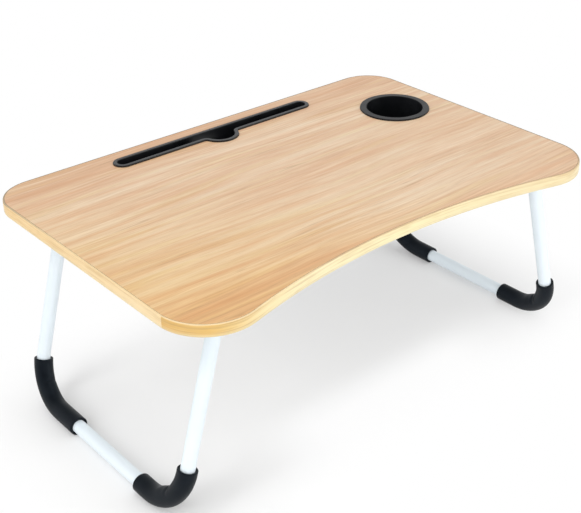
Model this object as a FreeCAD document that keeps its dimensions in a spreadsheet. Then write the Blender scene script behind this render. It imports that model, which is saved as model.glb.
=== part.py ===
import FreeCAD, Part
import math
import os
import re

import Sketcher

# A folding laptop table: a laminated board on two U-shaped tube legs, one under each end.
# Each leg turns on two pins in brackets under the board, leans outwards in use and folds flat inwards.
# X runs along the board to the end with the cup holder, Y back to the long slot, Z up.
# The origin lies on the floor under the middle of the board. Lengths are millimetres, angles degrees.

SIZES = {
    # Board
    "board_length": 600.0,
    "board_depth": 400.0,
    "overall_height": 255.0,
    "core_thickness": 13.0,
    "laminate_thickness": 0.5,
    "rear_corner_radius": 47.0,
    "front_corner_radius": 59.0,
    "front_dip": 32.5,
    "band_thickness": 2.0,
    "band_edge_round": 1.2,
    "band_joint_gap": 0.15,
    "band_joint_advance": 6.5,
    # Black inserts let into the board
    "flange_thickness": 3.2,
    "flange_edge_round": 0.7,
    "rebate_depth": 1.2,
    "rebate_gap": 0.3,
    "insert_wall": 2.0,
    "insert_floor": 2.0,
    "insert_gap": 0.3,
    # Long slot that props up a device, its centre line measured from the rear edge
    "slot_length": 302.0,
    "slot_width": 25.0,
    "slot_inset": 33.8,
    "slot_rim": 5.0,
    "slot_depth": 18.0,
    "notch_radius": 24.5,
    "notch_blend": 4.0,
    # Cup holder, its centre measured from the right end and the rear edge
    "cup_end_inset": 73.2,
    "cup_rear_inset": 124.0,
    "cup_bore_radius": 37.0,
    "cup_flange_radius": 45.5,
    "cup_depth": 30.0,
    "cup_corner_round": 3.0,
    # Leg tubes, their pins measured from the ends, front and rear of the board
    "hinge_inset": 60.8,
    "hinge_drop": 12.0,
    "front_leg_inset": 48.0,
    "rear_leg_inset": 59.0,
    "leg_splay": 15.4,
    "tube_diameter": 16.0,
    "tube_wall": 1.0,
    "tube_overhang": 4.5,
    "bend_radius": 54.0,
    # Foot sleeves, cut from hose and pushed over the bends
    "sleeve_diameter": 22.5,
    "sleeve_fit": 0.05,
    "sleeve_edge_round": 0.6,
    "foot_flat": 0.4,
    "left_front_sleeve_length": 104.0,
    "left_front_sleeve_shift": 7.0,
    "left_rear_sleeve_length": 115.0,
    "left_rear_sleeve_shift": 24.5,
    "right_front_sleeve_length": 116.0,
    "right_front_sleeve_shift": 11.0,
    "right_rear_sleeve_length": 114.0,
    "right_rear_sleeve_shift": 11.5,
    # Tube end plugs
    "plug_head": 1.5,
    "plug_edge_round": 1.0,
    "plug_length": 16.0,
    "plug_fit": 0.05,
    # Hinge brackets
    "bracket_length": 64.0,
    "bracket_width": 32.0,
    "bracket_base": 3.0,
    "bracket_corner_radius": 5.0,
    "bracket_edge_round": 0.8,
    "cheek_gap": 0.4,
    "cheek_thickness": 3.4,
    "cheek_radius": 7.5,
    "cheek_corner_round": 3.0,
    "stop_gap": 0.3,
    "stop_web": 4.0,
    "swing_gap": 0.6,
    # Hinge pins
    "pin_radius": 2.5,
    "pin_head_radius": 4.5,
    "pin_head_height": 1.6,
    "pin_seat_gap": 0.02,
    "pin_running_gap": 0.06,
    # Bracket screws
    "screw_x": 25.0,
    "screw_y": 9.5,
    "screw_radius": 1.75,
    "screw_length": 12.0,
    "screw_tip": 3.0,
    "screw_head_radius": 3.4,
    "screw_head_height": 2.2,
    "screw_head_edge": 0.7,
    "screw_gap": 0.25,
    "pilot_gap": 0.05,
    "pilot_spare": 0.5,
    "recess_arm": 1.9,
    "recess_width": 0.8,
    "recess_depth": 1.1,
    # Extra travel of every cut past the face that it leaves
    "cut_overrun": 1.0,
}

FORMULAS = {
    "board_thickness": "core_thickness + 2 * laminate_thickness",
    "underside_z": "overall_height - board_thickness",
    "core_z": "underside_z + laminate_thickness",
    "hinge_z": "underside_z - hinge_drop",
    "corner_x": "board_length / 2 - front_corner_radius",
    "corner_y": "board_depth / 2 - front_corner_radius",
    "centre_distance": "(corner_x ^ 2 + front_dip ^ 2) / (2 * front_dip)",
    "dip_radius": "centre_distance - front_corner_radius",
    "dip_centre_y": "front_dip - board_depth / 2 - dip_radius",
    "slot_centre_y": "board_depth / 2 - slot_inset",
    "cup_centre_x": "board_length / 2 - cup_end_inset",
    "cup_centre_y": "board_depth / 2 - cup_rear_inset",
    "hinge_x": "board_length / 2 - hinge_inset",
    "front_leg_y": "board_depth / 2 - front_leg_inset",
    "rear_leg_y": "board_depth / 2 - rear_leg_inset",
    "flange_proud": "flange_thickness - rebate_depth",
    "notch_y": "slot_centre_y - slot_width / 2 + slot_rim",
    "notch_reach": "notch_radius + notch_blend",
    "blend_drop": "slot_rim + notch_blend",
    "blend_x": "sqrt(notch_reach ^ 2 - blend_drop ^ 2)",
    "slot_hole_inset": "slot_rim - insert_wall - insert_gap",
    "cup_outer_radius": "cup_bore_radius + insert_wall",
    "tube_radius": "tube_diameter / 2",
    "tube_bore_radius": "tube_radius - tube_wall",
    "sleeve_radius": "sleeve_diameter / 2",
    "leg_reach": "(hinge_z - sleeve_radius + foot_flat) / cos(leg_splay)",
    "bend_drop": "leg_reach - bend_radius",
    "half_bend": "bend_radius * pi / 4",
    "leg_span": "front_leg_y + rear_leg_y",
    "cheek_inner": "tube_radius + cheek_gap",
    "cheek_outer": "cheek_inner + cheek_thickness",
    "stop_distance": "tube_radius + stop_gap",
    "web_distance": "stop_distance + stop_web",
    "swing_radius": "sqrt(tube_radius ^ 2 + (tube_overhang + plug_head) ^ 2) + swing_gap",
    "stop_start": "sqrt(swing_radius ^ 2 - stop_distance ^ 2)",
    "roof_z": "hinge_drop - bracket_base",
    "channel_edge": "cheek_radius + cut_overrun",
    "pin_dome": "(pin_head_radius ^ 2 + pin_head_height ^ 2) / (2 * pin_head_height)",
    "plug_radius": "tube_bore_radius - plug_fit",
    "screw_dome_rise": "screw_head_height - screw_head_edge",
    "screw_dome": "(screw_head_radius ^ 2 + screw_dome_rise ^ 2) / (2 * screw_dome_rise)",
    "screw_bite": "screw_length - bracket_base - laminate_thickness",
}

UP = FreeCAD.Vector(0, 0, 1)
LEFT, RIGHT = "-", ""
LEAN_AXIS = {LEFT: FreeCAD.Vector(0, 1, 0), RIGHT: FreeCAD.Vector(0, -1, 0)}
TURN_LEFT, TURN_RIGHT = "left", "right"
SAME_PLACE = 1e-6

# Each corner of the table: its name, the sign of its side in X and the place of its leg in Y.
CORNERS = [
    ("left_front", LEFT, "-front_leg_y"),
    ("left_rear", LEFT, "rear_leg_y"),
    ("right_front", RIGHT, "-front_leg_y"),
    ("right_rear", RIGHT, "rear_leg_y"),
]

doc = FreeCAD.newDocument("laptop_table")
sheet = doc.addObject("Spreadsheet::Sheet", "Sizes")
for row, (size_name, size) in enumerate(SIZES.items(), start=1):
    sheet.set(f"A{row}", size_name)
    sheet.set(f"B{row}", str(size))
    sheet.setAlias(f"B{row}", size_name)
doc.recompute()
nodes = []


# Formulas of named sizes

def expand(text):
    """Write a formula of named sizes with the sheet's cells in it."""
    def cell(match):
        word = match.group(0)
        if word in FORMULAS:
            return f"({expand(FORMULAS[word])})"
        return f"Sizes.{word}" if word in SIZES else word
    return re.sub(r"[A-Za-z_]\w*", cell, text)


def value(text):
    return float(sheet.evalExpression(expand(text)))


def bind(item, name, text):
    item.setExpression(name, expand(text))


# Sketches whose every point and radius is tied to the sheet

def point(x, y):
    return FreeCAD.Vector(value(x), value(y), 0)


def dimension(sketch, kind, references, text):
    index = sketch.addConstraint(Sketcher.Constraint(kind, *references, value(text)))
    bind(sketch, f"Constraints[{index}]", text)


def locate(sketch, curve, vertex, x, y):
    """Tie a vertex to its place. A sketch numbers its axes -1 and -2, and its root is vertex 1 of -1."""
    for kind, axis, text in (("DistanceX", -2, x), ("DistanceY", -1, y)):
        if text == "0":
            sketch.addConstraint(Sketcher.Constraint("PointOnObject", curve, vertex, axis))
        else:
            dimension(sketch, kind, (-1, 1, curve, vertex), text)


def add_sketch(body, plane, level="0"):
    """Start a sketch on one of the body's own planes, at a level along that plane's normal."""
    sketch = body.newObject("Sketcher::SketchObject", "Sketch")
    support = next(item for item in body.Origin.OriginFeatures if item.Role == plane)
    sketch.AttachmentSupport = [(support, "")]
    sketch.MapMode = "FlatFace"
    if level != "0":
        bind(sketch, "AttachmentOffset.Base.z", level)
    return sketch


def add_circle(sketch, x, y, radius):
    """Draw a circle, whose centre is vertex 3."""
    curve = sketch.addGeometry(Part.Circle(point(x, y), UP, value(radius)))
    dimension(sketch, "Radius", (curve,), radius)
    locate(sketch, curve, 3, x, y)


def add_arc(sketch, start, end, arc):
    """Draw one arc and return its curve with the vertices where the chain enters and leaves it."""
    centre_x, centre_y, radius, turn = arc
    centre = point(centre_x, centre_y)
    first, last = (start, end) if turn == TURN_LEFT else (end, start)
    from_angle = math.atan2(first.y - centre.y, first.x - centre.x)
    to_angle = math.atan2(last.y - centre.y, last.x - centre.x)
    if to_angle < from_angle:
        to_angle += 2 * math.pi
    circle = Part.Circle(centre, UP, value(radius))
    curve = sketch.addGeometry(Part.ArcOfCircle(circle, from_angle, to_angle))
    dimension(sketch, "Radius", (curve,), radius)
    return (curve, 1, 2) if turn == TURN_LEFT else (curve, 2, 1)


def add_chain(sketch, corners, closed=True):
    """Join corners (x, y, arc to the next corner or None for a line) into one outline or path."""
    following = corners[1:] + corners[:1] if closed else corners[1:]
    pieces = []
    for (x, y, arc), (next_x, next_y, _) in zip(corners, following):
        start, end = point(x, y), point(next_x, next_y)
        if arc:
            pieces.append(add_arc(sketch, start, end, arc))
        else:
            pieces.append((sketch.addGeometry(Part.LineSegment(start, end)), 1, 2))
    after = pieces[1:] + pieces[:1] if closed else pieces[1:]
    for (curve, _, leaving), (next_curve, entering, _) in zip(pieces, after):
        sketch.addConstraint(Sketcher.Constraint("Coincident", curve, leaving, next_curve, entering))
    for (x, y, _), (curve, entering, _) in zip(corners, pieces):
        locate(sketch, curve, entering, x, y)
    if not closed:
        last_x, last_y, _ = corners[-1]
        curve, _, leaving = pieces[-1]
        locate(sketch, curve, leaving, last_x, last_y)


# Features

def new_body(label):
    body = doc.addObject("PartDesign::Body", label)
    body.Label = label
    nodes.append(body)
    return body


def place(body, x="0", y="0", z="0", axis=UP, angle="0"):
    position = FreeCAD.Vector(value(x), value(y), value(z))
    body.Placement = FreeCAD.Placement(position, FreeCAD.Rotation(axis, value(angle)))
    for name, text in (("Base.x", x), ("Base.y", y), ("Base.z", z), ("Rotation.Angle", angle)):
        if text != "0":
            bind(body, f"Placement.{name}", text)


def pad(body, sketch, length, both_ways=False):
    feature = body.newObject("PartDesign::Pad", "Pad")
    feature.Profile = sketch
    feature.SideType = "Symmetric" if both_ways else "One side"
    bind(feature, "Length", length)
    doc.recompute()
    return feature


def cut(body, sketch, length, both_ways=False, upwards=False):
    before = body.Shape.Volume
    feature = body.newObject("PartDesign::Pocket", "Pocket")
    feature.Profile = sketch
    feature.SideType = "Symmetric" if both_ways else "One side"
    feature.Reversed = upwards
    bind(feature, "Length", length)
    doc.recompute()
    if body.Shape.Volume >= before:
        raise ValueError(f"{body.Label}: a cut removed nothing")
    return feature


def revolve(body, sketch):
    """Turn a sketch about its own vertical axis."""
    feature = body.newObject("PartDesign::Revolution", "Revolution")
    feature.Profile = sketch
    feature.ReferenceAxis = (sketch, ["V_Axis"])
    doc.recompute()
    return feature


def sweep(body, profile, path):
    feature = body.newObject("PartDesign::AdditivePipe", "Pipe")
    feature.Profile = profile
    feature.Spine = (path, [f"Edge{n}" for n in range(1, len(path.Shape.Edges) + 1)])
    doc.recompute()
    return feature


def soften(body, base, radius, edges):
    """Round those edges of a feature that are in the given list."""
    names = []
    for number, edge in enumerate(base.Shape.Edges, start=1):
        if any(edge.isSame(wanted) for wanted in edges):
            names.append(f"Edge{number}")
    feature = body.newObject("PartDesign::Fillet", "Fillet")
    feature.Base = (base, names)
    bind(feature, "Radius", radius)
    doc.recompute()
    return feature


def edges_at(shape, coordinate, *levels):
    """Find the edges that lie wholly at one of the levels, measured along x, y or z."""
    places = [value(level) for level in levels]
    def lies_at(edge, level):
        return all(abs(getattr(vertex.Point, coordinate) - level) < SAME_PLACE for vertex in edge.Vertexes)
    return [edge for edge in shape.Edges if any(lies_at(edge, level) for level in places)]


def end_edges(shape):
    """Find the outer edges of a pipe's two flat ends."""
    flat = [face for face in shape.Faces if isinstance(face.Surface, Part.Plane)]
    return [edge for face in flat for edge in face.OuterWire.Edges]


# Outlines

def board_outline(inset):
    """The board's edge, moved inwards by an inset: round corners and a shallow dip along the front."""
    side = f"(board_length / 2 - {inset})"
    rear = f"(board_depth / 2 - {inset})"
    rear_radius = f"(rear_corner_radius - {inset})"
    front_radius = f"(front_corner_radius - {inset})"
    rear_x = f"({side} - {rear_radius})"
    rear_y = f"({rear} - {rear_radius})"
    meet_x = f"corner_x * (1 - {front_radius} / centre_distance)"
    meet_y = f"-corner_y - {front_radius} * (centre_distance - front_dip) / centre_distance"
    return [
        (side, "-corner_y", None),
        (side, rear_y, (rear_x, rear_y, rear_radius, TURN_LEFT)),
        (rear_x, rear, None),
        (f"-{rear_x}", rear, (f"-{rear_x}", rear_y, rear_radius, TURN_LEFT)),
        (f"-{side}", rear_y, None),
        (f"-{side}", "-corner_y", ("-corner_x", "-corner_y", front_radius, TURN_LEFT)),
        (f"-{meet_x}", meet_y, ("0", "dip_centre_y", f"dip_radius + {inset}", TURN_RIGHT)),
        (meet_x, meet_y, ("corner_x", "-corner_y", front_radius, TURN_LEFT)),
    ]


def notch_edge(inset):
    """The bulge in the front of the slot, from the straight edge on its left to that on its right."""
    radius = f"(notch_radius - {inset})"
    blend = f"(notch_blend + {inset})"
    straight_y = f"(notch_y - slot_rim + {inset})"
    blend_y = "notch_y - blend_drop"
    meet_x = f"blend_x * {radius} / notch_reach"
    meet_y = f"notch_y - blend_drop * {radius} / notch_reach"
    bulge = ("0", "notch_y", radius, TURN_LEFT)
    return [
        ("-blend_x", straight_y, ("-blend_x", blend_y, blend, TURN_RIGHT)),
        (f"-{meet_x}", meet_y, bulge),
        ("0", f"notch_y - {radius}", bulge),
        (meet_x, meet_y, ("blend_x", blend_y, blend, TURN_RIGHT)),
        ("blend_x", straight_y, None),
    ]


def slot_outline(inset):
    """The slot's edge, moved inwards by an inset: round ends and the bulge in the front."""
    radius = f"(slot_width / 2 - {inset})"
    end_x = "(slot_length / 2 - slot_width / 2)"
    front_y = f"slot_centre_y - {radius}"
    rear_y = f"slot_centre_y + {radius}"
    right_end = (end_x, "slot_centre_y", radius, TURN_LEFT)
    left_end = (f"-{end_x}", "slot_centre_y", radius, TURN_LEFT)
    return notch_edge(inset) + [
        (end_x, front_y, right_end),
        (f"{end_x} + {radius}", "slot_centre_y", right_end),
        (end_x, rear_y, None),
        (f"-{end_x}", rear_y, left_end),
        (f"-{end_x} - {radius}", "slot_centre_y", left_end),
        (f"-{end_x}", front_y, None),
    ]


def bracket_outline():
    long_half = "(bracket_length / 2)"
    wide_half = "(bracket_width / 2)"
    inner_x = f"({long_half} - bracket_corner_radius)"
    inner_y = f"({wide_half} - bracket_corner_radius)"
    corners = []
    for side_x, side_y in (("", ""), ("-", ""), ("-", "-"), ("", "-")):
        corner = (f"{side_x}{inner_x}", f"{side_y}{inner_y}", "bracket_corner_radius", TURN_LEFT)
        on_side = (f"{side_x}{long_half}", f"{side_y}{inner_y}")
        on_end = (f"{side_x}{inner_x}", f"{side_y}{wide_half}")
        first, second = (on_side, on_end) if side_x == side_y else (on_end, on_side)
        corners += [(*first, corner), (*second, None)]
    return corners


def beside_leg(distance, height):
    """X of a line that runs along the open leg at a distance outside it, at a height over the pin."""
    return f"({distance} - ({height}) * sin(leg_splay)) / cos(leg_splay)"


# Board

def cut_slot(body, level, inset, depth):
    sketch = add_sketch(body, "XY_Plane", level)
    add_chain(sketch, slot_outline(inset))
    cut(body, sketch, depth)


def cut_cup_hole(body, level, radius, depth):
    sketch = add_sketch(body, "XY_Plane", level)
    add_circle(sketch, "cup_centre_x", "cup_centre_y", radius)
    cut(body, sketch, depth)


def cut_screw_holes(body, depth):
    sketch = add_sketch(body, "XY_Plane")
    for _, side, leg_y in CORNERS:
        for along in ("-", "+"):
            for across in ("-", "+"):
                hole_x = f"{side}hinge_x {along} screw_x"
                add_circle(sketch, hole_x, f"{leg_y} {across} screw_y", "screw_radius + pilot_gap")
    cut(body, sketch, depth, upwards=True)


def make_board_layer(label, thickness, z):
    body = new_body(label)
    sketch = add_sketch(body, "XY_Plane")
    add_chain(sketch, board_outline("band_thickness"))
    pad(body, sketch, thickness)
    place(body, z=z)
    return body


def make_board():
    through_core = "core_thickness + cut_overrun"
    through_sheet = "laminate_thickness + cut_overrun"
    core_rebate = "rebate_depth - laminate_thickness"
    cup_hole = "cup_outer_radius + insert_gap"
    cup_rebate = "cup_flange_radius + rebate_gap"

    core = make_board_layer("board_core", "core_thickness", "core_z")
    cut_slot(core, "core_thickness", "slot_hole_inset", through_core)
    cut_slot(core, "core_thickness", "-rebate_gap", core_rebate)
    cut_cup_hole(core, "core_thickness", cup_hole, through_core)
    cut_cup_hole(core, "core_thickness", cup_rebate, core_rebate)
    cut_screw_holes(core, "screw_bite + pilot_spare")

    top = make_board_layer("top_laminate", "laminate_thickness", "core_z + core_thickness")
    cut_slot(top, "laminate_thickness", "-rebate_gap", through_sheet)
    cut_cup_hole(top, "laminate_thickness", cup_rebate, through_sheet)

    bottom = make_board_layer("bottom_laminate", "laminate_thickness", "underside_z")
    cut_slot(bottom, "laminate_thickness", "slot_hole_inset", through_sheet)
    cut_cup_hole(bottom, "laminate_thickness", cup_hole, through_sheet)
    cut_screw_holes(bottom, through_sheet)


def make_edge_band():
    """One strip right round the board, with a butt joint just past the start of the left front corner."""
    body = new_body("edge_band")
    outer = add_sketch(body, "XY_Plane")
    add_chain(outer, board_outline("0"))
    slab = pad(body, outer, "board_thickness")
    soften(body, slab, "band_edge_round", edges_at(slab.Shape, "z", "0", "board_thickness"))
    inner = add_sketch(body, "XY_Plane", "board_thickness")
    add_chain(inner, board_outline("band_thickness"))
    cut(body, inner, "board_thickness + cut_overrun")
    joint = add_sketch(body, "XY_Plane", "board_thickness")
    outside = "-board_length / 2 - cut_overrun"
    inside = "-board_length / 2 + band_thickness + band_joint_advance"
    front = "-corner_y - band_joint_advance"
    add_chain(joint, [
        (outside, front, None),
        (inside, front, None),
        (inside, f"{front} + band_joint_gap", None),
        (outside, f"{front} + band_joint_gap", None),
    ])
    cut(body, joint, "board_thickness + cut_overrun")
    place(body, z="underside_z")


# Inserts, drawn from the level of the table top

def make_slot_trim():
    body = new_body("device_slot_trim")
    wall = add_sketch(body, "XY_Plane", "-slot_depth - insert_floor")
    add_chain(wall, slot_outline("(slot_rim - insert_wall)"))
    pad(body, wall, "slot_depth + insert_floor")
    flange = add_sketch(body, "XY_Plane", "-rebate_depth")
    add_chain(flange, slot_outline("0"))
    pad(body, flange, "flange_thickness")
    opening = add_sketch(body, "XY_Plane", "flange_proud")
    add_chain(opening, slot_outline("slot_rim"))
    hollow = cut(body, opening, "flange_proud + slot_depth")
    soften(body, hollow, "flange_edge_round", edges_at(hollow.Shape, "z", "flange_proud"))
    notch = add_sketch(body, "XY_Plane", "-slot_depth")
    add_chain(notch, notch_edge("slot_rim"))
    cut(body, notch, "insert_floor + cut_overrun")
    place(body, z="overall_height")


def make_cup_holder():
    body = new_body("cup_holder")
    profile = add_sketch(body, "XZ_Plane")
    bottom = "-cup_depth - insert_floor"
    shoulder = "(flange_proud - flange_edge_round)"
    outer_lip = "(cup_flange_radius - flange_edge_round)"
    inner_lip = "(cup_bore_radius + flange_edge_round)"
    floor_x = "cup_bore_radius - cup_corner_round"
    floor_corner_y = "-cup_depth + cup_corner_round"
    add_chain(profile, [
        ("0", bottom, None),
        ("cup_outer_radius", bottom, None),
        ("cup_outer_radius", "-rebate_depth", None),
        ("cup_flange_radius", "-rebate_depth", None),
        ("cup_flange_radius", shoulder, (outer_lip, shoulder, "flange_edge_round", TURN_LEFT)),
        (outer_lip, "flange_proud", None),
        (inner_lip, "flange_proud", (inner_lip, shoulder, "flange_edge_round", TURN_LEFT)),
        ("cup_bore_radius", shoulder, None),
        ("cup_bore_radius", floor_corner_y, (floor_x, floor_corner_y, "cup_corner_round", TURN_RIGHT)),
        (floor_x, "-cup_depth", None),
        ("0", "-cup_depth", None),
    ])
    revolve(body, profile)
    place(body, "cup_centre_x", "cup_centre_y", "overall_height")


# Hinges, drawn about the middle of the pin with X pointing to the near end of the board

def make_bracket(corner, side, leg_y):
    """A base plate with two cheeks for the pin and a web outside them that stops the open leg."""
    body = new_body(f"{corner}_hinge_bracket")
    base = add_sketch(body, "XY_Plane", "roof_z")
    add_chain(base, bracket_outline())
    plate = pad(body, base, "bracket_base")
    soften(body, plate, "bracket_edge_round", edges_at(plate.Shape, "z", "roof_z"))

    block = add_sketch(body, "XZ_Plane")
    outer_bottom = beside_leg("web_distance", "-cheek_radius")
    add_chain(block, [
        ("-cheek_radius", "hinge_drop", None),
        ("-cheek_radius", "0", ("0", "0", "cheek_radius", TURN_LEFT)),
        ("0", "-cheek_radius", None),
        (outer_bottom, "-cheek_radius", None),
        (beside_leg("web_distance", "hinge_drop"), "hinge_drop", None),
    ])
    cheeks = pad(body, block, "2 * cheek_outer", both_ways=True)
    low_corner = [edge for edge in edges_at(cheeks.Shape, "z", "-cheek_radius")
                  if edge.BoundBox.XMin > value(outer_bottom) - SAME_PLACE]
    rounded = soften(body, cheeks, "cheek_corner_round", low_corner)
    sides = edges_at(rounded.Shape, "y", "-cheek_outer", "cheek_outer")
    soften(body, rounded, "bracket_edge_round", [edge for edge in sides
                                                 if edge.CenterOfMass.z < value("roof_z") - SAME_PLACE])

    channel = add_sketch(body, "XZ_Plane")
    stop_x = "stop_distance * cos(leg_splay) + stop_start * sin(leg_splay)"
    stop_z = "stop_distance * sin(leg_splay) - stop_start * cos(leg_splay)"
    add_chain(channel, [
        (stop_x, stop_z, ("0", "0", "swing_radius", TURN_LEFT)),
        ("0", "swing_radius", None),
        ("-channel_edge", "swing_radius", None),
        ("-channel_edge", "-channel_edge", None),
        (beside_leg("stop_distance", "-channel_edge"), "-channel_edge", None),
    ])
    cut(body, channel, "2 * cheek_inner", both_ways=True)
    pin_hole = add_sketch(body, "XZ_Plane")
    add_circle(pin_hole, "0", "0", "pin_radius + pin_seat_gap")
    cut(body, pin_hole, "2 * cheek_outer + cut_overrun", both_ways=True)

    screw_holes = add_sketch(body, "XY_Plane", "hinge_drop")
    for along in ("-", ""):
        for across in ("-", ""):
            add_circle(screw_holes, f"{along}screw_x", f"{across}screw_y", "screw_radius + screw_gap")
    cut(body, screw_holes, "bracket_base + cut_overrun")
    place(body, f"{side}hinge_x", leg_y, "hinge_z", UP, "0" if side == RIGHT else "180")


def make_hinge_pin(corner, side, leg_y):
    """A rivet across both cheeks, with a low dome outside each."""
    body = new_body(f"{corner}_hinge_pin")
    profile = add_sketch(body, "XY_Plane")
    far_end = "(cheek_outer + pin_head_height)"
    lower_dome = ("0", f"pin_dome - {far_end}", "pin_dome", TURN_LEFT)
    upper_dome = ("0", f"{far_end} - pin_dome", "pin_dome", TURN_LEFT)
    add_chain(profile, [
        ("0", f"-{far_end}", lower_dome),
        ("pin_head_radius", "-cheek_outer", None),
        ("pin_radius", "-cheek_outer", None),
        ("pin_radius", "cheek_outer", None),
        ("pin_head_radius", "cheek_outer", upper_dome),
        ("0", far_end, None),
    ])
    revolve(body, profile)
    place(body, f"{side}hinge_x", leg_y, "hinge_z")


def make_bracket_screws(corner, side, leg_y):
    """Four cross-head screws, from the underside of their heads up into the board."""
    body = new_body(f"{corner}_bracket_screws")
    profile = add_sketch(body, "XZ_Plane")
    add_chain(profile, [
        ("0", "-screw_head_height", ("0", "screw_dome - screw_head_height", "screw_dome", TURN_LEFT)),
        ("screw_head_radius", "-screw_head_edge", None),
        ("screw_head_radius", "0", None),
        ("screw_radius", "0", None),
        ("screw_radius", "screw_length - screw_tip", None),
        ("0", "screw_length", None),
    ])
    shank = revolve(body, profile)
    recess = add_sketch(body, "XY_Plane", "-screw_head_height")
    arm, half = "recess_arm", "(recess_width / 2)"
    add_chain(recess, [
        (arm, f"-{half}", None), (arm, half, None), (half, half, None),
        (half, arm, None), (f"-{half}", arm, None), (f"-{half}", half, None),
        (f"-{arm}", half, None), (f"-{arm}", f"-{half}", None), (f"-{half}", f"-{half}", None),
        (f"-{half}", f"-{arm}", None), (half, f"-{arm}", None), (half, f"-{half}", None),
    ])
    cross = cut(body, recess, "recess_depth", upwards=True)
    axes = {item.Role: item for item in body.Origin.OriginFeatures}
    pattern = body.newObject("PartDesign::LinearPattern", "Pattern")
    pattern.Originals = [shank, cross]
    pattern.Direction = (axes["X_Axis"], [""])
    pattern.Direction2 = (axes["Y_Axis"], [""])
    pattern.Occurrences = 2
    pattern.Occurrences2 = 2
    bind(pattern, "Length", "2 * screw_x")
    bind(pattern, "Length2", "2 * screw_y")
    body.Tip = pattern
    doc.recompute()
    seat_z = "underside_z - bracket_base"
    place(body, f"{side}hinge_x - screw_x", f"{leg_y} - screw_y", seat_z)


def make_end_plug(corner, side, leg_y):
    """A plug in the tube's top end, with a head flush with the tube and a hole for the pin."""
    body = new_body(f"{corner}_tube_plug")
    profile = add_sketch(body, "XZ_Plane")
    top = "(tube_overhang + plug_head)"
    rim = "(tube_radius - plug_edge_round)"
    edge = f"({top} - plug_edge_round)"
    add_chain(profile, [
        ("0", "-plug_length", None),
        ("plug_radius", "-plug_length", None),
        ("plug_radius", "tube_overhang", None),
        ("tube_radius", "tube_overhang", None),
        ("tube_radius", edge, (rim, edge, "plug_edge_round", TURN_LEFT)),
        (rim, top, None),
        ("0", top, None),
    ])
    revolve(body, profile)
    pin_hole = add_sketch(body, "XZ_Plane")
    add_circle(pin_hole, "0", "0", "pin_radius + pin_running_gap")
    cut(body, pin_hole, "tube_diameter + cut_overrun", both_ways=True)
    place(body, f"{side}hinge_x", leg_y, "hinge_z", LEAN_AXIS[side], "leg_splay")


# Legs, drawn upright with the pins' axis along Y through the origin, then leaned outwards

def make_leg_tube(label, side):
    body = new_body(label)
    path = add_sketch(body, "YZ_Plane")
    front_bend = ("bend_radius - front_leg_y", "-bend_drop", "bend_radius", TURN_LEFT)
    rear_bend = ("rear_leg_y - bend_radius", "-bend_drop", "bend_radius", TURN_LEFT)
    add_chain(path, [
        ("-front_leg_y", "tube_overhang", None),
        ("-front_leg_y", "-bend_drop", front_bend),
        ("bend_radius - front_leg_y", "-leg_reach", None),
        ("rear_leg_y - bend_radius", "-leg_reach", rear_bend),
        ("rear_leg_y", "-bend_drop", None),
        ("rear_leg_y", "tube_overhang", None),
    ], closed=False)
    profile = add_sketch(body, "XY_Plane", "tube_overhang")
    add_circle(profile, "0", "-front_leg_y", "tube_radius")
    add_circle(profile, "0", "-front_leg_y", "tube_bore_radius")
    doc.recompute()
    sweep(body, profile, path)
    pin_holes = add_sketch(body, "XZ_Plane")
    add_circle(pin_holes, "0", "0", "pin_radius + pin_running_gap")
    cut(body, pin_holes, "2 * leg_span", both_ways=True)
    place(body, f"{side}hinge_x", "0", "hinge_z", LEAN_AXIS[side], "leg_splay")


def make_foot_sleeve(corner, side, leg_y):
    """A hose round one bend, shifted along the tube from the bend's middle, pressed flat on the floor."""
    body = new_body(f"{corner}_foot_sleeve")
    length, shift = f"{corner}_sleeve_length", f"{corner}_sleeve_shift"
    inwards = "+" if leg_y.startswith("-") else "-"
    turn = TURN_RIGHT if inwards == "+" else TURN_LEFT
    on_bar = f"({length} / 2 + {shift} - half_bend)"
    on_upright = f"({length} / 2 - {shift} - half_bend)"
    bar_end = f"{leg_y} {inwards} (bend_radius + {on_bar})"
    bend_centre = f"{leg_y} {inwards} bend_radius"
    bend = (bend_centre, "-bend_drop", "bend_radius", turn)
    route = [(bar_end, "-leg_reach", None), (bend_centre, "-leg_reach", bend)]
    if value(on_upright) > 0:
        route += [(leg_y, "-bend_drop", None), (leg_y, f"{on_upright} - bend_drop", None)]
    else:
        turned = f"(-{on_upright} / bend_radius * 180 / pi)"
        short_y = f"{leg_y} {inwards} bend_radius * (1 - cos{turned})"
        route += [(short_y, f"-bend_drop - bend_radius * sin{turned}", None)]
    path = add_sketch(body, "YZ_Plane")
    add_chain(path, route, closed=False)
    profile = add_sketch(body, "XZ_Plane", f"-({bar_end})")
    add_circle(profile, "0", "-leg_reach", "sleeve_radius")
    add_circle(profile, "0", "-leg_reach", "tube_radius + sleeve_fit")
    doc.recompute()
    hose = sweep(body, profile, path)
    soften(body, hose, "sleeve_edge_round", end_edges(hose.Shape))

    floor = add_sketch(body, "XZ_Plane")
    inner, outer = ("", "-") if side == LEFT else ("-", "")
    inner_z = f"({inner}sleeve_diameter * sin(leg_splay) - hinge_z) / cos(leg_splay)"
    outer_z = f"({outer}sleeve_diameter * sin(leg_splay) - hinge_z) / cos(leg_splay)"
    below = "-leg_reach - 2 * sleeve_diameter"
    add_chain(floor, [
        ("-sleeve_diameter", below, None),
        ("sleeve_diameter", below, None),
        ("sleeve_diameter", inner_z, None),
        ("-sleeve_diameter", outer_z, None),
    ])
    cut(body, floor, "2 * leg_span", both_ways=True)
    place(body, f"{side}hinge_x", "0", "hinge_z", LEAN_AXIS[side], "leg_splay")


make_board()
make_edge_band()
make_slot_trim()
make_cup_holder()
for label, side in (("left_leg_tube", LEFT), ("right_leg_tube", RIGHT)):
    make_leg_tube(label, side)
for make_piece in (make_bracket, make_bracket_screws, make_hinge_pin, make_end_plug, make_foot_sleeve):
    for corner in CORNERS:
        make_piece(*corner)
doc.recompute()

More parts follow.
